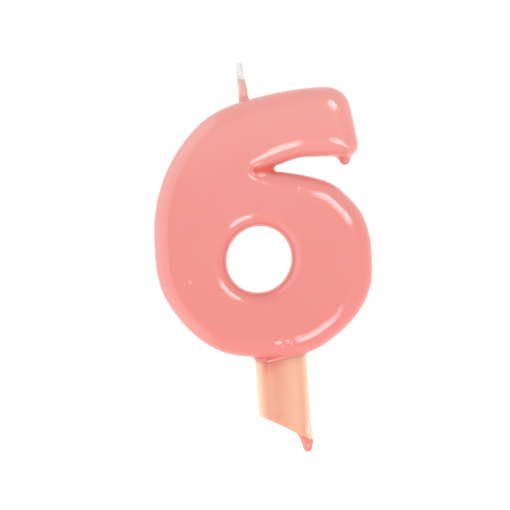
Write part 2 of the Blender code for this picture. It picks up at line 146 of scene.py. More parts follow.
@dataclass
class SixOutline:
    """Outline of the six over its lacquer, and how deep any point lies inside it."""

    width: float = 56.5
    height: float = 70.0
    pick_across: float = 0.578
    counter_across: float = 0.480
    counter_up: float = 0.361
    counter_width: float = 16.5
    counter_height: float = 17.3
    counter_lean: float = 29.0
    step: float = 0.55
    turn: float = 4.0
    cell: float = 0.25
    margin: float = 4.0
    soft_reach: float = 1.25
    soft_start: float = 1.2
    soft_stretch: float = 2.0
    hole_blend: float = 0.6
    slot: tuple[Pair, Pair] = ((-2.4, 48.6), (-6.3, 48.3))
    slot_half: float = 0.35
    slot_tighten: float = 1.0
    stations: tuple[Station, ...] = (
        Station(0.877, 1.002, 103.3, 181.9, 6.5),
        knot(0.410, 0.947, 196.8),
        knot(0.196, 0.852, 225.3),
        knot(0.000, 0.467, 270.0),
        knot(0.066, 0.196, 301.8),
        knot(0.433, 0.000, 360.0),
        knot(0.775, 0.044, 393.3),
        knot(1.000, 0.319, 450.0),
        knot(0.907, 0.578, 496.0),
        knot(0.801, 0.647, 519.1),
        Station(0.565, 0.697, 537.0, 377.0, -0.8),
        knot(0.701, 0.738, 360.0),
        Station(0.950, 0.743, 359.5, 463.5, 3.0),
    )

    def __post_init__(self) -> None:
        """Measure the outline once, on a fine grid."""
        self.x_low = -self.pick_across * self.width - self.margin
        self.z_low = -self.margin
        columns = math.ceil((self.width + 2 * self.margin) / self.cell) + 1
        rows = math.ceil((self.height + 2 * self.margin) / self.cell) + 1
        x = self.x_low + self.cell * np.arange(columns)
        z = self.z_low + self.cell * np.arange(rows)
        places = np.stack(np.meshgrid(x, z, indexing="ij"), axis=-1).reshape(-1, 2)
        outer = self.loop_distance(places, self.outline()).reshape(columns, rows)
        hole = -self.loop_distance(places, self.counter()).reshape(columns, rows)
        whole = np.maximum(outer, hole)
        slotted = np.maximum(whole, -self.slot_distance(places).reshape(columns, rows))
        self.whole_grid, self.depth_grid = self.softened(whole), self.softened(slotted)
        self.hole_grid = 1 / (1 + np.exp(-(hole - outer) / self.hole_blend))

    def slot_distance(self, places: Array) -> Array:
        """Distance from the slot past the gap's blind end, which gets tighter as it goes."""
        t, away = from_stretch(places, *np.array(self.slot))
        return (away - self.slot_half) * (1 + self.slot_tighten * t)

    def softened(self, nearest: Array) -> Array:
        """Distances that are blurred away from the edge, where the faces run together."""
        share = smooth_step(self.soft_start, self.soft_start + self.soft_stretch, -nearest)
        return nearest + (self.blurred(nearest) - nearest) * share

    def point(self, across: float, up: float) -> Array:
        """Place in the XZ plane of a point given in shares of the width and height."""
        return np.array(((across - self.pick_across) * self.width, up * self.height))

    def ends(self, station: Station) -> list[Array]:
        """Points of one station of the outline."""
        place = self.point(station.across, station.up)
        if station.radius == 0:
            return [place]
        radius, centre = station.radius, place
        if radius > 0:
            inward = left_of(station.heading_in) + left_of(station.heading_out)
            inward /= 1 + left_of(station.heading_in) @ left_of(station.heading_out)
            centre = place + inward * radius
        span = station.heading_out - station.heading_in
        steps = max(6, math.ceil(abs(span) / self.turn))
        return [centre - left_of(station.heading_in + span * i / steps) * radius
                for i in range(steps + 1)]

    def outline(self) -> Array:
        """Closed outer outline, wax on its left."""
        points: list[Array] = []
        for station, after in zip(self.stations, self.stations[1:] + self.stations[:1]):
            here = self.ends(station)
            points += here
            start, end = here[-1], self.ends(after)[0]
            chord = float(np.linalg.norm(end - start))
            turn = math.radians((after.heading_in - station.heading_out + 180) % 360 - 180)
            reach = chord / 3
            if abs(turn) > 1e-4:
                reach = chord * (2 / 3) * math.tan(turn / 4) / math.sin(turn / 2)
            first = start + heading_vector(station.heading_out) * reach
            second = end - heading_vector(after.heading_in) * reach
            steps = max(math.ceil(chord / self.step),
                        math.ceil(abs(math.degrees(turn)) / self.turn))
            points += bend(start, first, second, end, np.arange(1, steps) / steps)
        return np.array(points)

    def counter(self) -> Array:
        """Closed outline of the round opening, the opening on its left."""
        centre = self.point(self.counter_across, self.counter_up)
        long_way = heading_vector(90.0 - self.counter_lean) * (self.counter_height / 2)
        short_way = heading_vector(-self.counter_lean) * (self.counter_width / 2)
        t = np.linspace(0, 2 * math.pi, 120, endpoint=False)[:, None]
        return centre + short_way * np.cos(t) + long_way * np.sin(t)

    @staticmethod
    def loop_distance(places: Array, loop: Array) -> Array:
        """Signed distance from places to a closed loop.

        Args:
            places: Points in the plane.
            loop: The loop's points in order.

        Returns:
            Distances, negative on the loop's left.
        """
        ahead = np.roll(loop, -1, 0) - loop
        squares = (ahead ** 2).sum(1)
        distances = np.empty(len(places))
        for chunk in np.array_split(np.arange(len(places)), max(1, len(places) // 1500)):
            away = places[chunk][:, None, :] - loop
            t = np.clip((away * ahead).sum(2) / squares, 0, 1)
            gap = ((away - t[..., None] * ahead) ** 2).sum(2)
            nearest = gap.argmin(1)
            row = np.arange(len(chunk))
            side = (ahead[nearest, 0] * away[row, nearest, 1]
                    - ahead[nearest, 1] * away[row, nearest, 0])
            distances[chunk] = -np.sign(side) * np.sqrt(gap[row, nearest])
        return distances

    def blurred(self, grid: Array) -> Array:
        """The grid averaged over a soft round reach."""
        sigma = self.soft_reach / self.cell
        reach = math.ceil(3 * sigma)
        weights = np.exp(-0.5 * (np.arange(-reach, reach + 1) / sigma) ** 2)
        weights /= weights.sum()
        out = np.pad(grid, reach, mode="edge")
        for axis in (0, 1):
            size = out.shape[axis] - 2 * reach
            out = sum(w * np.take(out, np.arange(i, i + size), axis)
                      for i, w in enumerate(weights))
        return out

    def sample(self, grid: Array, x: Array, z: Array) -> Array:
        """Value of a grid at places between its points, on smooth curves."""
        u = np.clip((x - self.x_low) / self.cell, 1, grid.shape[0] - 2.001)
        v = np.clip((z - self.z_low) / self.cell, 1, grid.shape[1] - 2.001)
        i, j = u.astype(int), v.astype(int)
        across, up = self.spline_weights(u - i), self.spline_weights(v - j)
        return sum(across[a] * up[b] * grid[i + a - 1, j + b - 1]
                   for a, b in product(range(4), repeat=2))

    @staticmethod
    def spline_weights(t: Array) -> tuple[Array, ...]:
        """Weights of the four grid points round a place on a smooth curve."""
        return (((-t + 2) * t - 1) * t / 2, ((3 * t - 5) * t * t + 2) / 2,
                ((-3 * t + 4) * t + 1) * t / 2, (t - 1) * t * t / 2)

    def crown(self, x: float) -> float:
        """Height of the outline's upper edge at x."""
        loop = self.outline()
        after = np.roll(loop, -1, 0)
        low, high = np.minimum(loop[:, 0], after[:, 0]), np.maximum(loop[:, 0], after[:, 0])
        over = (low <= x) & (x < high)
        a, b = loop[over], after[over]
        return float((a[:, 1] + (b[:, 1] - a[:, 1]) * (x - a[:, 0]) / (b[:, 0] - a[:, 0])).max())


# ---- distance fields ----

def soft_min(a: Array, b: Array, reach: float) -> Array:
    """Join of two solids with a fillet."""
    h = np.maximum(reach - np.abs(a - b), 0) / reach
    return np.minimum(a, b) - h ** 3 * reach / 6


def soft_max(a: Array, b: Array, reach: float) -> Array:
    """Common part of two solids with a rounded edge."""
    return -soft_min(-a, -b, reach)


def smooth_step(low: float, high: float, value: Array) -> Array:
    """0 below low, 1 above high, and an even rise between."""
    t = np.clip((value - low) / (high - low), 0, 1)
    return t * t * (3 - 2 * t)


def rounded_slab(across: Array, depth: Array, half: float,
                 radius: Array | float) -> Array:
    """Distance to a slab with rounded edges.

    Args:
        across: Signed distance from the slab's outline in its plane.
        depth: Distance from its middle plane.
        half: Half its thickness.
        radius: Radius of its edges.

    Returns:
        Signed distances, negative inside.
    """
    qx, qy = across + radius, depth - (half - radius)
    return (np.hypot(np.maximum(qx, 0), np.maximum(qy, 0))
            + np.minimum(np.maximum(qx, qy), 0) - radius)


@dataclass(frozen=True)
class Drop:
    """A tapering drop between two round ends."""

    start: Triple
    start_radius: float
    end: Triple
    end_radius: float

    def distance(self, points: Array) -> Array:
        """Signed distance from points to the drop."""
        t, away = from_stretch(points, np.array(self.start), np.array(self.end))
        return away - self.start_radius - (self.end_radius - self.start_radius) * t


@dataclass(frozen=True)
class Blemish:
    """A small round bump, or dimple if its rise is negative, on the front or the back."""

    x: float
    z: float
    reach: float
    rise: float
    front: bool = True

    def lift(self, points: Array) -> Array:
        """How far the blemish raises the surface at points."""
        away = (points[:, 0] - self.x) ** 2 + (points[:, 2] - self.z) ** 2
        side = points[:, 1] < 0 if self.front else points[:, 1] > 0
        return self.rise * np.exp(-away / (2 * self.reach ** 2)) * side


def ripple(points: Array, waves: Waves) -> Array:
    """Sum of slow waves over points; each is (rise, x, y, z turns per mm, phase)."""
    total = np.zeros(len(points))
    for rise, x, y, z, phase in waves:
        total += rise * np.sin(2 * math.pi * (points @ np.array((x, y, z)) + phase))
    return total


# ---- skins from fields ----

@dataclass
class Skin:
    """Closed smooth mesh on the zero surface of a field."""

    name: str
    surface: Field
    xs: Array
    ys: Array
    zs: Array
    rounds: int = 4
    settling: int = 3
    nudge: float = 0.02
    longest_step: float = 0.3

    def contour(self) -> tuple[Array, Array]:
        """Rough surface: one point in each cell that it crosses, and a quad round each edge."""
        axes = (self.xs, self.ys, self.zs)
        shape = tuple(len(a) for a in axes)
        grid = np.stack(np.meshgrid(*axes, indexing="ij"), axis=-1).reshape(-1, 3)
        value = np.concatenate([self.surface(part) for part in np.array_split(grid, 12)])
        value = value.reshape(shape)
        inside = value < 0
        corners = list(product((0, 1), repeat=3))
        cells = tuple(n - 1 for n in shape)
        held = sum(inside[tuple(slice(a, a + n) for a, n in zip(corner, cells))].astype(int)
                   for corner in corners)
        i, j, k = np.nonzero((held > 0) & (held < 8))
        number = np.full(cells, -1)
        number[i, j, k] = np.arange(len(i))
        total, count = np.zeros((len(i), 3)), np.zeros(len(i))
        for corner, axis in product(corners, range(3)):
            if corner[axis]:
                continue
            at = [c + v for c, v in zip((i, j, k), corner)]
            to = [v + (n == axis) for n, v in enumerate(at)]
            low, high = value[tuple(at)], value[tuple(to)]
            cross = (low < 0) != (high < 0)
            t = np.where(cross, low / np.where(cross, low - high, 1), 0)
            for n in range(3):
                p, q = axes[n][at[n]], axes[n][to[n]]
                total[:, n] += np.where(cross, p + (q - p) * t, 0)
            count += cross
        quads = []
        for axis in range(3):
            one, two = (axis + 1) % 3, (axis + 2) % 3
            low = inside.take(np.arange(shape[axis] - 1), axis)
            high = inside.take(np.arange(1, shape[axis]), axis)
            for mask, turned in ((low & ~high, False), (~low & high, True)):
                at = [np.array(v) for v in np.nonzero(mask)]
                keep = (at[one] > 0) & (at[two] > 0)
                keep &= (at[one] < cells[one]) & (at[two] < cells[two])
                at = [v[keep] for v in at]
                ring = []
                for back_one, back_two in ((1, 1), (0, 1), (0, 0), (1, 0)):
                    place = list(at)
                    place[one] = at[one] - back_one
                    place[two] = at[two] - back_two
                    ring.append(number[tuple(place)])
                quads.append(np.stack(ring[::-1] if turned else ring, axis=1))
        return total / count[:, None], np.concatenate(quads)

    def slope(self, points: Array) -> Array:
        """Gradient of the field at points."""
        out = np.empty_like(points)
        for n in range(3):
            shift = np.zeros(3)
            shift[n] = self.nudge
            ahead, behind = self.surface(points + shift), self.surface(points - shift)
            out[:, n] = (ahead - behind) / (2 * self.nudge)
        return out

    def normals(self, points: Array) -> Array:
        """Unit normals of the surface at points."""
        slope = self.slope(points)
        return slope / np.linalg.norm(slope, axis=1)[:, None]

    def settle(self, points: Array) -> Array:
        """Points moved onto the surface."""
        slope = self.slope(points)
        steepness = np.maximum((slope ** 2).sum(1), 0.05)[:, None]
        step = self.surface(points)[:, None] * slope / steepness
        return points - np.clip(step, -self.longest_step, self.longest_step)

    def build(self) -> tuple[Thing, Array]:
        """Make the mesh object.

        Returns:
            The object, and its vertices in millimetres.
        """
        points, quads = self.contour()
        for _ in range(self.settling):
            points = self.settle(points)
        ends = np.concatenate([quads[:, (n, (n + 1) % 4)] for n in range(4)])
        share = np.maximum(np.bincount(ends[:, 0], minlength=len(points)), 1)[:, None]
        for _ in range(self.rounds):
            mean = np.stack([np.bincount(ends[:, 0], points[ends[:, 1], n], len(points))
                             for n in range(3)], axis=1) / share
            normal, pull = self.normals(points), mean - points
            points = points + 0.5 * (pull - normal * (pull * normal).sum(1)[:, None])
            points = self.settle(points)
        mesh = new_mesh(self.name, (points * MM).tolist(), [], quads.tolist())
        mesh.shade_smooth()
        mesh.normals_split_custom_set_from_vertices(self.normals(points).tolist())
        return new_object(self.name, mesh), points


def graded(*parts: Triple) -> Array:
    """Grid levels from (start, end, step) stretches that follow each other."""
    levels = [np.linspace(a, b, max(1, round((b - a) / s)), endpoint=False) for a, b, s in parts]
    return np.append(np.concatenate(levels), parts[-1][1])


def paint(thing: Thing, name: str, values: Array) -> None:
    """Store one number for each vertex under an attribute's name."""
    layer = thing.data.attributes.new(name, 'FLOAT', 'POINT')
    layer.data.foreach_set("value", values.astype(np.float32))


# ---- the dip coat ----

@dataclass
class WickLine:
    """Where the wick runs: a leaning free end and a curve down through the wax."""

    outline: SixOutline
    across: float = 0.412
    lean: float = 8.5
    free: float = 10.0
    straight: float = 3.0
    stained: Pair = (4.6, 6.4)
    route: tuple[Pair, ...] = ((0.390, 0.77), (0.255, 0.61), (0.180, 0.43),
                                              (0.200, 0.23))

    def exit(self) -> Array:
        """Point where the wick's middle leaves the crown."""
        x = self.outline.point(self.across, 1)[0]
        return np.array((x, 0.0, self.outline.crown(x)))

    def way(self) -> Array:
        """Direction of the free end."""
        lean = math.radians(self.lean)
        return np.array((-math.sin(lean), 0.0, math.cos(lean)))

    def path(self, step: float) -> Array:
        """Middle line from the tip down to the end inside the wax."""
        exit_point, way = self.exit(), self.way()
        stops = [exit_point - way * self.straight]
        for across, up in self.route:
            place = self.outline.point(across, up)
            stops.append(np.array((place[0], 0.0, place[1])))
        ways = [-way] + [(b - a) / np.linalg.norm(b - a) for a, b in zip(stops[:-2], stops[2:])]
        ways.append((stops[-1] - stops[-2]) / np.linalg.norm(stops[-1] - stops[-2]))
        tip = exit_point + way * self.free
        count = math.ceil(np.linalg.norm(tip - stops[0]) / step)
        points = [tip + (stops[0] - tip) * i / count for i in range(count + 1)]
        for start, go, end, come in zip(stops, ways, stops[1:], ways[1:]):
            reach = np.linalg.norm(end - start) / 3
            count = math.ceil(np.linalg.norm(end - start) / step)
            points += bend(start, start + go * reach, end - come * reach, end,
                           np.arange(1, count + 1) / count)
        return np.array(points)


@dataclass
class PickFrame:
    """The leaning plane of the pick: across is along its width, along runs up its length."""

    lean: float = 4.1

    def across(self, points: Array) -> Array:
        """Distance of points to the right of the pick's middle line."""
        return points[:, (0, 2)] @ heading_vector(self.lean)

    def along(self, points: Array) -> Array:
        """Distance of points up the pick's middle line."""
        return points[:, (0, 2)] @ left_of(self.lean)


@dataclass
class DipCoat:
    """One skin of lacquer over the digit, the foot of the wick and the top of the pick."""

    outline: SixOutline
    wick: WickLine
    pick: PickFrame
    half_depth: float = 6.0
    outer_round: float = 4.75
    counter_round: float = 3.7
    crown: float = 0.12
    crown_reach: float = 9.0
    sleeve_radius: float = 1.2
    sleeve_taper: float = 0.035
    sleeve_length: float = 5.5
    sleeve_lobes: float = 0.11
    sleeve_turn: float = 0.21
    sleeve_phase: float = 2.3
    sleeve_root: float = 3.0
    sleeve_fillet: float = 1.3
    collar_half: float = 6.3
    collar_depth: float = 1.8
    collar_fillet: float = 2.6
    ledge_height: float = -0.5
    ledge_climb: float = 0.27
    ledge_low: float = -1.2
    seam: float = 0.35
    terminal_drop: Drop = Drop((16.3, 0.0, 53.3), 2.6, (16.7, 0.0, 51.1), 1.35)
    drop_fillet: float = 1.9
    wick_bead: Drop = Drop((-9.2, -1.0, 67.9), 0.42, (-9.15, -1.0, 67.5), 0.42)
    ridges: tuple[Drop, ...] = (
        Drop((-3.2, -2.0, -1.05), 0.52, (4.0, -2.05, 0.85), 0.44),
        Drop((-5.3, -1.75, -0.65), 0.5, (-5.0, -1.75, -0.72), 0.5),
        Drop((6.0, -1.75, 1.05), 0.45, (6.2, -1.75, 1.1), 0.42),
        Drop((-5.2, 1.85, -0.8), 0.42, (5.4, 1.9, 1.2), 0.42),
    )
    # Shares of the deep colour: the drop is partly thick lacquer and partly painted shade; the
    # crease and the gap are painted shade.
    drop_top: Pair = (51.0, 52.6)
    drop_share: float = 0.35
    crease_shade_share: float = 0.6
    gap_shade_share: float = 0.95
    veil_rise: Pair = (0.6, 2.4)
    web_sink: float = 0.52
    web_root: Pair = (-1.6, 48.7)
    web_reach: float = 1.7
    blemishes: tuple[Blemish, ...] = (
        Blemish(4.35, 43.85, 0.28, 0.10),
        Blemish(-23.4, 19.4, 0.22, 0.05),
        Blemish(-24.9, 37.0, 0.22, 0.05),
        Blemish(4.6, 33.4, 0.25, 0.04),
        Blemish(-4.9, 3.3, 0.25, 0.06),
        Blemish(2.67, 3.26, 0.32, 0.16),
        Blemish(2.67, 3.26, 0.62, -0.12),
        Blemish(0.75, 3.2, 0.42, -0.12),
        Blemish(-1.3, 3.5, 0.65, 0.13),
        Blemish(17.7, 61.0, 0.16, -0.12),
        Blemish(-12.5, 30.0, 0.24, 0.06, False),
        Blemish(9.0, 17.0, 0.2, 0.05, False),
    )
    waves: Waves = (
        (0.020, 0.041, 0.02, 0.028, 0.10), (0.016, -0.033, 0.04, 0.052, 0.35),
        (0.012, 0.079, 0.03, -0.047, 0.62), (0.008, 0.095, -0.05, 0.11, 0.80))

    def digit(self, points: Array) -> Array:
        """Distance to the digit, with a sunk web of lacquer past the gap's blind end."""
        away = points[:, (0, 2)] - np.array(self.web_root)
        near = np.exp(-(away ** 2).sum(1) / self.web_reach ** 2)
        slotted = self.slab(points, self.outline.depth_grid)
        web = self.slab(points, self.outline.whole_grid) + self.web_sink * (1 - near)
        return soft_min(slotted, web, self.seam)

    def slab(self, points: Array, grid: Array) -> Array:
        """Distance to a round-edged body with crowned faces, for one grid of depths."""
        depth = self.outline.sample(grid, points[:, 0], points[:, 2])
        hole = self.outline.sample(self.outline.hole_grid, points[:, 0], points[:, 2])
        radius = self.outer_round + (self.counter_round - self.outer_round) * hole
        fall = self.crown * np.clip(1 + depth / self.crown_reach, 0, 1) ** 2
        return rounded_slab(depth, np.abs(points[:, 1]) + fall, self.half_depth, radius)

    def sleeve(self, points: Array) -> Array:
        """Distance to the lacquer round the foot of the wick, which shows the yarns under it."""
        away, way = points - self.wick.exit(), self.wick.way()
        along = away @ way
        side = away @ np.array((way[2], 0.0, -way[0]))
        angle = np.arctan2(away[:, 1], side)
        lobes = self.sleeve_lobes * np.cos(3 * (angle - self.sleeve_turn * along)
                                          + self.sleeve_phase)
        radius = self.sleeve_radius - self.sleeve_taper * along + lobes
        tube = np.hypot(side, away[:, 1]) - radius
        middle = (self.sleeve_length - self.sleeve_root) / 2
        half = (self.sleeve_length + self.sleeve_root) / 2
        return soft_max(tube, np.abs(along - middle) - half, self.seam)

    def collar(self, points: Array) -> Array:
        """Distance to the lacquer that ran a little way down the pick."""
        across, depth = np.abs(self.pick.across(points) + 0.1), np.abs(points[:, 1])
        box = rounded_slab(across - self.collar_half, depth, self.collar_depth, 0.8)
        ledge = self.ledge(points[:, 0]) - points[:, 2]
        return soft_max(soft_max(box, ledge, 0.5), points[:, 2] - 3.0, 0.5)

    def ledge(self, x: Array) -> Array:
        """Height of the coat's lower end across the pick."""
        return soft_max(self.ledge_height + self.ledge_climb * x,
                        np.full_like(x, self.ledge_low), 0.8)

    def surface(self, points: Array) -> Array:
        """Distance to the whole skin."""
        value = soft_min(self.digit(points), self.sleeve(points), self.sleeve_fillet)
        value = soft_min(value, self.collar(points), self.collar_fillet)
        value = soft_min(value, self.terminal_drop.distance(points), self.drop_fillet)
        value = soft_min(value, self.wick_bead.distance(points), 0.4)
        for ridge in self.ridges:
            value = soft_min(value, ridge.distance(points), self.seam)
        value = value - ripple(points, self.waves)
        for blemish in self.blemishes:
            value = value - blemish.lift(points)
        return value

    def pool_and_shade(self, points: Array) -> Array:
        """Where the lacquer gathered thick, and painted shade in the gap's blind end and the
        crease above the ledge, from 0 to 1.
        """
        # Deeper colour in the lower part of the drop under the terminal: thick lacquer and painted
        # shade.
        drop = 1 - smooth_step(0.0, 1.1, self.terminal_drop.distance(points))
        drop *= self.drop_share * (1 - smooth_step(*self.drop_top, points[:, 2]))
        ridge = np.min([r.distance(points) for r in self.ridges], axis=0)
        # Painted shade: a dark line in the crease just above the ledge on the pick.
        crease = (1 - smooth_step(0.1, 1.1, ridge)) * smooth_step(
            0.45, 0.9, points[:, 2] - self.ledge(points[:, 0]))
        # Painted shade: deep red in the slot past the gap's blind end, where shade falls.
        gap = 1 - smooth_step(0.1, 1.7, self.outline.slot_distance(points[:, (0, 2)]))
        return np.clip(drop + self.crease_shade_share * crease + self.gap_shade_share * gap, 0, 1)

    def veil(self, points: Array) -> Array:
        """Where the lacquer is thin over the pale wick, from 0 to 1."""
        along = (points - self.wick.exit()) @ self.wick.way()
        near = 1 - smooth_step(0.2, 0.8, self.sleeve(points))
        return near * smooth_step(*self.veil_rise, along)

    def build(self) -> Thing:
        """Make the skin and paint where it is thick, where shade is painted, and where it is thin
        over the wick.
        """
        xs = graded((-33.6, -12.0, 0.44), (-12.0, -7.0, 0.34), (-7.0, 7.6, 0.36),
                    (7.6, 14.0, 0.44), (14.0, 19.6, 0.36), (19.6, 24.8, 0.44))
        ys = graded((-6.6, -3.0, 0.36), (-3.0, 3.0, 0.34), (3.0, 6.6, 0.4))
        zs = graded((-3.2, -2.0, 0.4), (-2.0, 1.8, 0.27), (1.8, 49.0, 0.45), (49.0, 53.0, 0.32),
                    (53.0, 66.0, 0.45), (66.0, 71.0, 0.4), (71.0, 73.6, 0.32))
        thing, points = Skin("dip_coat", self.surface, xs, ys, zs).build()
        # Thick lacquer and painted shade, stored for the lacquer's deep colour.
        paint(thing, "pool_and_shade", self.pool_and_shade(points))
        paint(thing, "veil", self.veil(points))
        return thing


# ---- the skin on the pick ----

@dataclass
class PickSkin:
    """Thin lacquer over the blade of the pick, with the drop that set at its point.

    A streak is a share of depth of colour, its middle across the blade and its reach.
    """

    pick: PickFrame
    width: float = 12.3
    long_side: float = 21.4
    short_side: float = 14.5
    bow: float = 0.2
    corner: float = 0.35
    film: float = 0.55
    half_depth: float = 1.55
    edge: float = 0.6
    top: float = 2.2
    drop_fillet: float = 2.7
    tip_drop: Drop = Drop((6.5, 0.0, -20.2), 1.45, (7.1, 0.0, -23.4), 1.15)
    waves: Waves = (
        (0.010, 0.09, 0.0, 0.012, 0.15), (0.005, 0.17, 0.05, -0.02, 0.55),
        (0.008, 0.05, 0.0, 0.085, 0.30))

    plain: float = 0.52
    streaks: tuple[Triple, ...] = ((-0.13, 2.3, 1.6), (0.17, -3.4, 2.0), (0.12, -1.6, 1.3))
    cut_depth: float = 0.62
    drop_depth: float = 0.80
    drop_top: float = -20.3
    drop_left: float = 4.9
    drop_slope: float = 0.26

    def cut_distance(self, points: Array) -> Array:
        """Signed distance of points from the blade's slanting end."""
        flat = np.stack((self.pick.across(points), self.pick.along(points)), axis=1)
        half = self.width / 2
        span = np.array((self.width, self.short_side - self.long_side))
        out = np.array((span[1], -span[0])) / np.linalg.norm(span)
        start = np.array((-half, -self.short_side))
        t = np.clip((flat[:, 0] + half) / self.width, 0, 1)
        return (flat - start) @ out + self.bow * np.sin(math.pi * t)

    def edge_distance(self, points: Array) -> Array:
        """Signed distance of points from the outline of the bare blade."""
        sides = np.abs(self.pick.across(points)) - self.width / 2
        above = self.pick.along(points) - self.top
        return soft_max(soft_max(sides, self.cut_distance(points), self.corner), above, 0.4)

    def surface(self, points: Array) -> Array:
        """Distance to the whole skin."""
        value = rounded_slab(self.edge_distance(points) - self.film, np.abs(points[:, 1]),
                             self.half_depth, self.edge)
        value = soft_min(value, self.tip_drop.distance(points), self.drop_fillet)
        return value - ripple(points, self.waves)

    def tint(self, points: Array) -> Array:
        """Depth of the lacquer's colour, from 0 at the pale edges to 1 in the drop."""
        across, along = self.pick.across(points), self.pick.along(points)
        left, right = across + self.width / 2 + self.film, self.width / 2 + self.film - across
        pale, top, dark = (share * np.exp(-((across - middle) / reach) ** 2)
                           for share, middle, reach in self.streaks)
        depth = self.plain + 0.05 * np.sin(across * 1.1 + 0.4)
        depth += pale
        depth += top * smooth_step(-7.0, -1.0, along)
        depth += dark
        depth += 0.12 * smooth_step(-3.6, -1.0, along - 0.22 * across)
        depth *= 0.12 + 0.88 * smooth_step(0.5, 2.9, left)
        depth *= 0.22 + 0.78 * smooth_step(0.3, 1.9, right)
        cut = self.film - self.cut_distance(points)
        near_cut = (1 - smooth_step(0.15, 0.75, cut)) * smooth_step(1.0, 3.0, left)
        near_cut *= 1 - smooth_step(-14.0, -12.0, along)
        depth = np.maximum(depth, self.cut_depth * near_cut)
        line = points[:, 2] - self.drop_top + self.drop_slope * (points[:, 0] - self.drop_left)
        drop = 1 - smooth_step(-0.25, 0.2, line)
        seam = np.exp(-((line + 0.1) / 0.22) ** 2)
        depth = depth * (1 - drop) + self.drop_depth * drop + 0.10 * seam
        return np.clip(depth, 0, 1)

    def build(self) -> Thing:
        """Make the skin and paint its depth of colour."""
        xs = graded((-7.4, 9.0, 0.27))
        ys = graded((-2.3, 2.3, 0.27))
        zs = graded((-24.7, -19.0, 0.27), (-19.0, 3.2, 0.3))
        thing, points = Skin("pick_skin", self.surface, xs, ys, zs).build()
        paint(thing, "tint", self.tint(points))
        return thing


# ---- Geometry Nodes wick ----

class Tree:
    """A node tree with short ways to add and join nodes."""

    def __init__(self, tree: bpy.types.NodeTree) -> None:
        """Keep the tree that the nodes go into."""
        self.tree = tree

    def add(self, kind: str, settings: dict | None = None, **inputs) -> bpy.types.Node:
        """Add a node.

        Args:
            kind: The node's Blender type.
            settings: Its own properties.
            **inputs: What goes into its sockets, by name with spaces as underscores, or by
                number after an "n": an output socket or a value.

        Returns:
            The node.
        """
        node = self.tree.nodes.new(kind)
        for name, value in (settings or {}).items():
            setattr(node, name, value)
        self.fill(node, **inputs)
        return node

    def fill(self, node: bpy.types.Node, **inputs) -> None:
        """Give sockets of a node what goes into them, named as for add."""
        for name, value in inputs.items():
            numbered = name[0] == "n" and name[1:].isdigit()
            socket = node.inputs[int(name[1:]) if numbered else name.replace("_", " ")]
            if isinstance(value, Socket):
                self.tree.links.new(value, socket)
            else:
                socket.default_value = value

    def math(self, operation: str, *values, kind: str = "ShaderNodeMath") -> Socket:
        """Output of a Math node over values or sockets."""
        inputs = {f"n{i}": v for i, v in enumerate(values)}
        return self.add(kind, {"operation": operation}, **inputs).outputs[0]

    def vector(self, operation: str, *values) -> Socket:
        """Output of a Vector Math node over values or sockets."""
        return self.math(operation, *values, kind="ShaderNodeVectorMath")

    def scaled(self, vector, scale) -> Socket:
        """A vector times a number."""
        return self.add("ShaderNodeVectorMath", {"operation": 'SCALE'}, n0=vector,
                        Scale=scale).outputs[0]


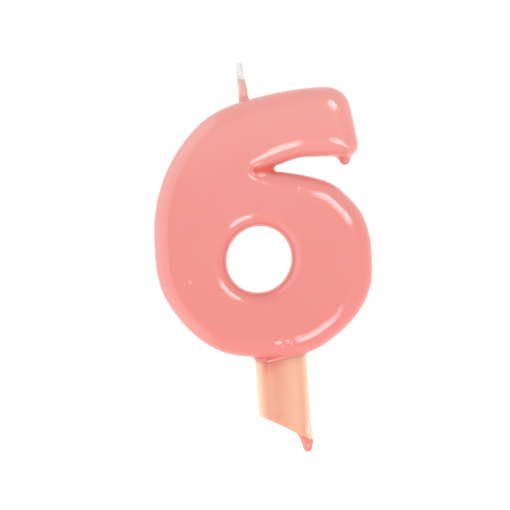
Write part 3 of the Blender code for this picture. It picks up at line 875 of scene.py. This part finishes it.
@dataclass
class Wick:
    """Plied cotton yarns laid round the wick's middle line, a little frayed at the tip."""

    line: WickLine
    yarns: int = 3
    strands: int = 8
    lay_radius: float = 0.56
    lay_length: float = 30.0
    ring: float = 0.3
    ring_lay: float = 5.0
    strand_radius: float = 0.19
    step: float = 0.35
    fray: float = 0.14
    fray_reach: float = 0.9

    def inputs(self) -> dict[str, int | float]:
        """Numbers that the node tree is given, lengths in metres."""
        return {"Yarns": self.yarns, "Strands": self.strands, "Lay Radius": self.lay_radius * MM,
                "Lay Length": self.lay_length * MM, "Ring": self.ring * MM,
                "Ring Lay": self.ring_lay * MM, "Strand Radius": self.strand_radius * MM,
                "Fray": self.fray * MM, "Step": self.step * MM}

    def tree(self) -> bpy.types.GeometryNodeTree:
        """Node tree that turns the middle line into laid yarns."""
        group = bpy.data.node_groups.new("laid_wick", 'GeometryNodeTree')
        kinds = {"Geometry": "Geometry", "Cotton": "Material"}
        kinds |= {n: "Int" if isinstance(v, int) else "Float" for n, v in self.inputs().items()}
        for name, kind in kinds.items():
            group.interface.new_socket(name, in_out='INPUT', socket_type="NodeSocket" + kind)
        group.interface.new_socket("Geometry", in_out='OUTPUT', socket_type="NodeSocketGeometry")
        tree = Tree(group)
        given = tree.add("NodeGroupInput").outputs
        sums, full = tree.math, 2 * math.pi
        curve = tree.add("GeometryNodeMeshToCurve", n0=given["Geometry"]).outputs[0]
        curve = tree.add("GeometryNodeResampleCurve", {"mode": 'LENGTH'}, Curve=curve,
                         Length=given["Step"]).outputs[0]
        total = sums("MULTIPLY", given["Yarns"], given["Strands"])
        copies = tree.add("GeometryNodeDuplicateElements", {"domain": 'SPLINE'},
                          Geometry=curve, Amount=total)
        index = copies.outputs["Duplicate Index"]
        yarn = sums("FLOOR", sums("DIVIDE", index, given["Strands"]))
        strand = sums("MODULO", index, given["Strands"])
        travelled = tree.add("GeometryNodeSplineParameter").outputs["Length"]
        tangent = tree.add("GeometryNodeInputTangent").outputs[0]
        across = tree.vector("NORMALIZE", tree.vector("CROSS_PRODUCT", tangent, (0.0, 1.0, 0.0)))
        over = tree.vector("CROSS_PRODUCT", across, tangent)
        laid = sums("MULTIPLY", full, sums(
            "ADD", sums("DIVIDE", travelled, given["Lay Length"]),
            sums("DIVIDE", yarn, given["Yarns"])))
        outer = sums("SUBTRACT", given["Strands"], 1.0)
        spun = sums("MULTIPLY", full, sums(
            "SUBTRACT", sums("DIVIDE", strand, outer),
            sums("DIVIDE", travelled, given["Ring Lay"])))
        fading = sums("MULTIPLY", travelled, -1 / (self.fray_reach * MM))
        loose = sums("MULTIPLY", given["Fray"], sums("EXPONENT", fading))
        wobble = tree.add("FunctionNodeRandomValue", {"data_type": 'FLOAT'}, ID=index,
                          Seed=7).outputs[1]
        ringed = sums("LESS_THAN", strand, sums("SUBTRACT", outer, 0.5))
        ring = sums("MULTIPLY", ringed,
                    sums("ADD", given["Ring"], sums("MULTIPLY", loose, wobble)))
        offset = tree.vector(
            "ADD", self.round_offset(tree, across, over, laid, given["Lay Radius"]),
            self.round_offset(tree, across, over, spun, ring))
        moved = tree.add("GeometryNodeSetPosition", Geometry=copies.outputs["Geometry"],
                         Offset=offset).outputs[0]
        profile = tree.add("GeometryNodeCurvePrimitiveCircle", Resolution=6,
                           Radius=given["Strand Radius"]).outputs[0]
        tube = tree.add("GeometryNodeCurveToMesh", Curve=moved, Profile_Curve=profile,
                        Fill_Caps=True).outputs[0]
        real = tree.add("GeometryNodeRealizeInstances", n0=tube).outputs[0]
        dressed = tree.add("GeometryNodeSetMaterial", Geometry=real,
                           Material=given["Cotton"]).outputs[0]
        tree.add("NodeGroupOutput", Geometry=dressed)
        return group

    @staticmethod
    def round_offset(tree: Tree, across, over, angle, radius) -> Socket:
        """Offset by a radius at an angle in the plane across the path."""
        return tree.vector(
            "ADD", tree.scaled(across, tree.math("MULTIPLY", radius, tree.math("COSINE", angle))),
            tree.scaled(over, tree.math("MULTIPLY", radius, tree.math("SINE", angle))))

    def build(self, cotton: Material) -> Thing:
        """Lay the wick and turn it into a plain mesh."""
        path = self.line.path(0.4) * MM
        base = new_mesh("wick_path", path.tolist(),
                        [(i, i + 1) for i in range(len(path) - 1)], [])
        guide = new_object("wick_path", base)
        modifier = guide.modifiers.new("laid_wick", 'NODES')
        modifier.node_group = self.tree()
        values = {**self.inputs(), "Cotton": cotton}
        for item in modifier.node_group.interface.items_tree:
            if item.in_out == 'INPUT' and item.name in values:
                modifier[item.identifier] = values[item.name]
        bpy.context.view_layer.update()
        ready = guide.evaluated_get(bpy.context.evaluated_depsgraph_get())
        mesh = bpy.data.meshes.new_from_object(ready)
        mesh.name = "wick"
        bpy.data.objects.remove(guide)
        mesh.shade_smooth()
        return new_object("wick", mesh)


# ---- finishes ----

@dataclass(frozen=True)
class Tone:
    """A colour as a screen shows it."""

    red: int
    green: int
    blue: int

    def linear(self) -> tuple[float, float, float, float]:
        """The colour in the linear numbers that shaders read."""
        parts = [c / 255 for c in (self.red, self.green, self.blue)]
        parts = [c / 12.92 if c <= 0.04045 else ((c + 0.055) / 1.055) ** 2.4 for c in parts]
        return (*parts, 1.0)


class Dress(Tree):
    """A material under way: its tree, its shader and the patterns that finishes share."""

    def __init__(self, name: str) -> None:
        """Start an empty material with a Principled shader."""
        self.material = bpy.data.materials.new(name)
        self.material.use_nodes = True
        self.material.node_tree.nodes.clear()
        super().__init__(self.material.node_tree)
        self.shader = self.add("ShaderNodeBsdfPrincipled", Subsurface_Scale=MM)
        self.add("ShaderNodeOutputMaterial", Surface=self.shader.outputs[0])
        self.place = self.add("ShaderNodeTexCoord").outputs["Object"]

    def noise(self, scale: float, detail: float = 3.0, stretch=(1.0, 1.0, 1.0),
              distortion: float = 0.0) -> Socket:
        """Noise over the object, with a scale in turns per metre."""
        place = self.add("ShaderNodeMapping", Vector=self.place, Scale=stretch).outputs[0]
        return self.add("ShaderNodeTexNoise", Vector=place, Scale=scale, Detail=detail,
                        Distortion=distortion).outputs[0]

    def ramp(self, factor: Socket,
             *stops: tuple[float, Tone]) -> Socket:
        """Colours along a factor."""
        node = self.add("ShaderNodeValToRGB", Fac=factor)
        while len(node.color_ramp.elements) < len(stops):
            node.color_ramp.elements.new(0.5)
        for element, (position, tone) in zip(node.color_ramp.elements, stops):
            element.position, element.color = position, tone.linear()
        return node.outputs[0]

    def spread(self, value: Socket, low: float, high: float, to_low: float = 0.0,
               to_high: float = 1.0) -> Socket:
        """A value moved from one range to another, kept inside it."""
        return self.add("ShaderNodeMapRange", n0=value, n1=low, n2=high, n3=to_low,
                        n4=to_high).outputs[0]

    def rise(self) -> Socket:
        """Height over the object's origin, in metres."""
        return self.add("ShaderNodeSeparateXYZ", n0=self.place).outputs[2]

    def mix(self, factor: Socket, one: Socket,
            two: Tone) -> Socket:
        """A colour mixed with a tone."""
        return self.add("ShaderNodeMix", {"data_type": 'RGBA'}, n0=factor, n6=one,
                        n7=two.linear()).outputs[2]

    def bump(self, height: Socket, distance: float, strength: float = 1.0,
             under: Socket | None = None) -> Socket:
        """Normal over a height pattern, on top of another if given."""
        inputs = {"Height": height, "Distance": distance, "Strength": strength}
        if under is not None:
            inputs["Normal"] = under
        return self.add("ShaderNodeBump", **inputs).outputs[0]

    def attribute(self, name: str) -> Socket:
        """A number painted on the piece's vertices."""
        return self.add("ShaderNodeAttribute", {"attribute_name": name}).outputs["Fac"]

    def finished(self, **inputs) -> Material:
        """The material, once its shader's sockets are filled."""
        self.fill(self.shader, **inputs)
        return self.material


@dataclass(frozen=True)
class LacquerFinish:
    """Glossy coral lacquer over wax, deeper in colour where it gathered, with painted shade in the
    gap's blind end and above the pick's ledge, and painted light that makes it paler towards the
    top.
    """

    # Low, middle and high are painted light: the coral from bottom to top, paler at the top as if
    # lit from above.
    low: Tone = Tone(229, 135, 128)
    middle: Tone = Tone(229, 139, 132)
    high: Tone = Tone(230, 152, 145)
    # Deep colour of thick lacquer, also used as painted shade in the gap and the crease.
    deep_and_shaded: Tone = Tone(222, 74, 60)
    veiled: Tone = Tone(234, 172, 168)
    speck: Tone = Tone(250, 190, 182)
    bleed: Triple = (2.2, 0.9, 0.7)

    def make(self) -> Material:
        """Build the material."""
        dress = Dress("coral_lacquer")
        cloud = dress.spread(dress.noise(55.0, 3.0, distortion=0.4), 0.3, 0.7, -0.12, 0.12)
        # Painted light: the coral is mixed paler towards the top by height, with a little random
        # mottling on top.
        factor = dress.math("ADD", dress.spread(dress.rise(), 0.010, 0.066), cloud)
        colour = dress.ramp(factor, (0.0, self.low), (0.5, self.middle), (1.0, self.high))
        specks = dress.spread(dress.noise(1400.0, 1.0), 0.72, 0.8, 0.0, 0.10)
        colour = dress.mix(specks, colour, self.speck)
        # Deep colour where the lacquer is thick and where shade is painted in the gap and the
        # crease.
        colour = dress.mix(dress.attribute("pool_and_shade"), colour, self.deep_and_shaded)
        colour = dress.mix(dress.attribute("veil"), colour, self.veiled)
        peel = dress.bump(dress.noise(420.0, 2.0), 0.00002, 0.35)
        rough = dress.spread(dress.noise(180.0), 0.3, 0.7, 0.30, 0.42)
        return dress.finished(
            Base_Color=colour, Roughness=rough, Subsurface_Weight=0.65,
            Subsurface_Radius=self.bleed, Specular_IOR_Level=0.2, Coat_Weight=1.0,
            Coat_Roughness=0.03, Coat_IOR=1.5, Normal=peel, Coat_Normal=peel)


@dataclass(frozen=True)
class ThinLacquerFinish:
    """Thin lacquer over a clear pale pick: cream at the edges, peach across, coral in the drop."""

    edge: Tone = Tone(238, 219, 197)
    thin: Tone = Tone(236, 194, 162)
    body: Tone = Tone(229, 170, 144)
    thick: Tone = Tone(226, 138, 118)
    drop: Tone = Tone(188, 88, 82)
    bleed: Triple = (2.4, 1.6, 1.0)

    def make(self) -> Material:
        """Build the material."""
        dress = Dress("thin_coral_lacquer")
        runs = dress.spread(dress.noise(420.0, 3.0, (1.0, 1.0, 0.09)), 0.3, 0.7, -0.05, 0.05)
        depth = dress.math("ADD", dress.attribute("tint"), runs)
        colour = dress.ramp(depth, (0.0, self.edge), (0.28, self.thin), (0.55, self.body),
                            (0.8, self.thick), (1.0, self.drop))
        normal = dress.bump(dress.noise(260.0, 2.0, (1.0, 1.0, 0.15)), 0.00006, 0.5)
        rough = dress.spread(dress.noise(160.0), 0.3, 0.7, 0.26, 0.4)
        return dress.finished(
            Base_Color=colour, Roughness=rough, Subsurface_Weight=0.8,
            Subsurface_Radius=self.bleed, Specular_IOR_Level=0.2, Coat_Weight=0.9,
            Coat_Roughness=0.06, Coat_IOR=1.5, Normal=normal, Coat_Normal=normal)


@dataclass(frozen=True)
class CottonFinish:
    """Waxed cotton, a little pink where the lacquer crept up it."""

    cotton: Tone = Tone(253, 251, 246)
    shade: Tone = Tone(247, 243, 234)
    stained: Tone = Tone(244, 190, 184)

    def make(self, start: float, end: float) -> Material:
        """Build the material.

        Args:
            start: Height at which the stain is full, in metres.
            end: Height at which it is gone.
        """
        dress = Dress("waxed_cotton")
        fibres = dress.spread(dress.noise(2600.0, 4.0, (1.0, 1.0, 0.12)), 0.3, 0.7)
        colour = dress.ramp(fibres, (0.0, self.shade), (1.0, self.cotton))
        stain = dress.spread(dress.rise(), start, end, 1.0, 0.0)
        colour = dress.mix(stain, colour, self.stained)
        return dress.finished(
            Base_Color=colour, Roughness=dress.spread(fibres, 0.0, 1.0, 0.7, 0.9),
            Subsurface_Weight=0.4, Subsurface_Radius=(1.0, 0.9, 0.8), Sheen_Weight=0.2,
            Normal=dress.bump(fibres, 0.00004, 0.6))


@dataclass(frozen=True)
class WaxFinish:
    """Dull coral wax under the lacquer."""

    low: Tone = Tone(222, 120, 112)
    high: Tone = Tone(233, 140, 132)

    def make(self) -> Material:
        """Build the material."""
        dress = Dress("coral_wax")
        cloud = dress.noise(140.0, 5.0, distortion=0.6)
        grain = dress.noise(1900.0, 3.0)
        return dress.finished(
            Base_Color=dress.ramp(cloud, (0.3, self.low), (0.7, self.high)),
            Roughness=dress.spread(grain, 0.3, 0.7, 0.42, 0.6), Subsurface_Weight=0.7,
            Subsurface_Radius=(3.0, 1.2, 0.9),
            Normal=dress.bump(grain, 0.00004, 0.5, dress.bump(cloud, 0.0001, 0.4)))


@dataclass(frozen=True)
class PlasticFinish:
    """Clear, faintly yellow moulded plastic of the pick."""

    pale: Tone = Tone(252, 238, 208)
    warm: Tone = Tone(248, 220, 176)

    def make(self) -> Material:
        """Build the material."""
        dress = Dress("pick_plastic")
        flow = dress.noise(300.0, 3.0, (1.0, 1.0, 0.1))
        return dress.finished(
            Base_Color=dress.ramp(flow, (0.3, self.warm), (0.7, self.pale)),
            Roughness=dress.spread(flow, 0.3, 0.7, 0.16, 0.28), Transmission_Weight=0.55,
            IOR=1.49, Normal=dress.bump(flow, 0.00003, 0.4))


@dataclass(frozen=True)
class FloorFinish:
    """Plain white floor."""

    tone: Tone = Tone(248, 248, 248)
    dull: Tone = Tone(246, 246, 246)
    glow: float = 0.35

    def make(self) -> Material:
        """Build the material."""
        dress = Dress("white_floor")
        grain = dress.noise(40.0, 2.0)
        return dress.finished(
            Base_Color=dress.ramp(grain, (0.0, self.dull), (1.0, self.tone)), Roughness=0.6,
            Specular_IOR_Level=0.1, Emission_Color=self.tone.linear(),
            Emission_Strength=self.glow)


# ---- studio ----

@dataclass(frozen=True)
class Panel:
    """A soft light: where it is, where it looks, how large and how bright it is."""

    name: str
    place: Triple
    size: Pair
    brightness: float
    colour: Triple = (1.0, 1.0, 1.0)
    facing: Triple = (0.0, 1.0, 0.0)
    roll: float = 0.0

    def light(self) -> None:
        """Put the light in the scene."""
        data = bpy.data.lights.new(self.name, 'AREA')
        data.shape = 'RECTANGLE'
        data.size, data.size_y = self.size
        data.color = self.colour
        data.energy = self.brightness * math.pi * self.size[0] * self.size[1]
        lamp = new_object(self.name, data)
        lamp.location = self.place
        lamp.rotation_mode = 'QUATERNION'
        lamp.rotation_quaternion = (Vector(self.facing).to_track_quat('-Z', 'Y')
                                    @ Quaternion((0, 0, 1), math.radians(self.roll)))
        lamp.visible_camera = lamp.visible_diffuse = False


@dataclass
class Studio:
    """White surroundings, soft panels and the camera.

    Millimetres for the centre and the width shown, metres for distances, and degrees off the
    camera's axis for the strip and the boxes.
    """

    centre: Pair = (-6.55, 26.4)
    shown: float = 132.06
    distance: float = 1.5
    reach: float = 4.0
    sensor: float = 36.0
    air: float = 1.02
    floor_radius: float = 4.0
    floor_sides: int = 96
    floor_drop: float = 0.0005
    strip: Pair = (6.0, 9.5)
    strip_share: float = 0.1
    strip_gain: float = 1.5
    boxes: tuple[Pair, ...] = ((14.5, 21.0), (21.0, 33.0), (33.0, 42.0))

    def beside(self, name: str, heading: float, near: float, far: float, half: float,
               brightness: float, colour: Triple) -> Panel:
        """Panel beside the camera that faces the candle.

        Args:
            name: The light's name.
            heading: Direction from the camera's axis, in degrees from the right.
            near: Angle off the axis, seen from the candle, at which it starts, in degrees.
            far: And at which it ends.
            half: Half its width, as a share of its distance.
            brightness: Its radiance.
            colour: Its colour.
        """
        start = self.reach * math.tan(math.radians(near))
        end = self.reach * math.tan(math.radians(far))
        middle = heading_vector(heading) * (start + end) / 2
        place = (self.centre[0] * MM + middle[0], -self.reach, self.centre[1] * MM + middle[1])
        return Panel(name, place, (end - start, 2 * half * self.reach), brightness, colour,
                     (0.0, 1.0, 0.0), heading)

    def panels(self) -> list[Panel]:
        """All the lights."""
        cream, rosy = (1.0, 0.95, 0.78), (1.0, 0.94, 1.0)
        lights = []
        for side, heading, half, level in (("upper_right", 47.5, 21.0, 8.5),
                                           ("lower_right", -62.0, 17.0, 8.0)):
            spread = math.tan(math.radians(half))
            lights.append(self.beside(f"{side}_strip", heading, *self.strip,
                                      self.strip_share * spread, level * self.strip_gain, cream))
            for near, far in self.boxes:
                middle = math.tan(math.radians((near + far) / 2))
                lights.append(self.beside(f"{side}_box_{far:.0f}", heading, near, far,
                                          middle * spread, level, rosy))
        lights.append(Panel("left_board", (-1.0, -0.55, 0.0), (1.9, 3.2), 1.2, (0.5, 0.96, 1.0),
                            facing=(1.0, 0.0, 0.0)))
        return lights

    def build(self, lowest: float) -> None:
        """Make the surroundings, the floor, the lights and the camera.

        Args:
            lowest: Height of the candle's lowest point, in metres.
        """
        lowest -= self.floor_drop
        scene = bpy.context.scene
        scene.view_settings.view_transform = 'Standard'
        scene.world = bpy.data.worlds.new("white_room")
        scene.world.use_nodes = True
        air = scene.world.node_tree.nodes["Background"]
        air.inputs["Color"].default_value = (1.0, 1.0, 1.0, 1.0)
        air.inputs["Strength"].default_value = self.air
        for panel in self.panels():
            panel.light()
        steps = [2 * math.pi * i / self.floor_sides for i in range(self.floor_sides)]
        rim = [(self.floor_radius * math.cos(t), self.floor_radius * math.sin(t), lowest)
               for t in steps]
        mesh = new_mesh("floor", rim, [], [tuple(range(self.floor_sides))])
        floor = new_object("floor", mesh)
        mesh.materials.append(FloorFinish().make())
        floor.visible_glossy = floor.visible_shadow = False
        data = bpy.data.cameras.new("camera")
        data.sensor_width = self.sensor
        data.lens = self.sensor * self.distance / (self.shown * MM)
        data.clip_start, data.clip_end = 0.01, 20.0
        camera = new_object("camera", data)
        camera.location = (self.centre[0] * MM, -self.distance, self.centre[1] * MM)
        camera.rotation_euler = (math.pi / 2, 0, 0)
        scene.camera = camera


# ---- the whole candle ----

def cover(thing: Thing, material: Material) -> None:
    """Give a piece one material in all its slots."""
    if not thing.data.materials:
        thing.data.materials.append(material)
    for slot in thing.material_slots:
        slot.link = 'OBJECT'
        slot.material = material


def place(thing: Thing, slot: Slot, *nodes: str) -> None:
    """Let a finished piece ride on the candle and stand for CAD nodes."""
    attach(thing, BODY)
    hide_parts(*nodes)
    log.info("%s stands for %s: %d faces", thing.name, ", ".join(nodes), len(thing.data.polygons))


def main() -> None:
    """Build the candle's pieces, dress the CAD nodes that stay, and set the studio."""
    outline = SixOutline()
    line, pick = WickLine(outline), PickFrame()

    coat = DipCoat(outline, line, pick).build()
    coat.data.materials.append(LacquerFinish().make())
    place(coat, Slot.LACQUER, "lacquer_coat", "wick_lacquer_sleeve", "pick_shoulder_bead",
          "terminal_drip")

    skin = PickSkin(pick).build()
    skin.data.materials.append(ThinLacquerFinish().make())
    place(skin, Slot.THIN_LACQUER, "pick_lacquer_film", "pick_tip_drip")

    crown = float(line.exit()[2])
    cotton = CottonFinish().make(*((crown + rise) * MM for rise in line.stained))
    wick = Wick(line).build(cotton)
    place(wick, Slot.COTTON, "wick_yarn_1", "wick_yarn_2", "wick_yarn_3")

    for name, finish in (("wax_digit", WaxFinish()), ("pick", PlasticFinish())):
        cover(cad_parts[name], finish.make())
        log.info("%s keeps its CAD shape", name)

    Studio().build(CAD_BOX[0].z)


if __name__ == "__main__":
    logging.basicConfig(level=logging.INFO, format="%(message)s")
    main()
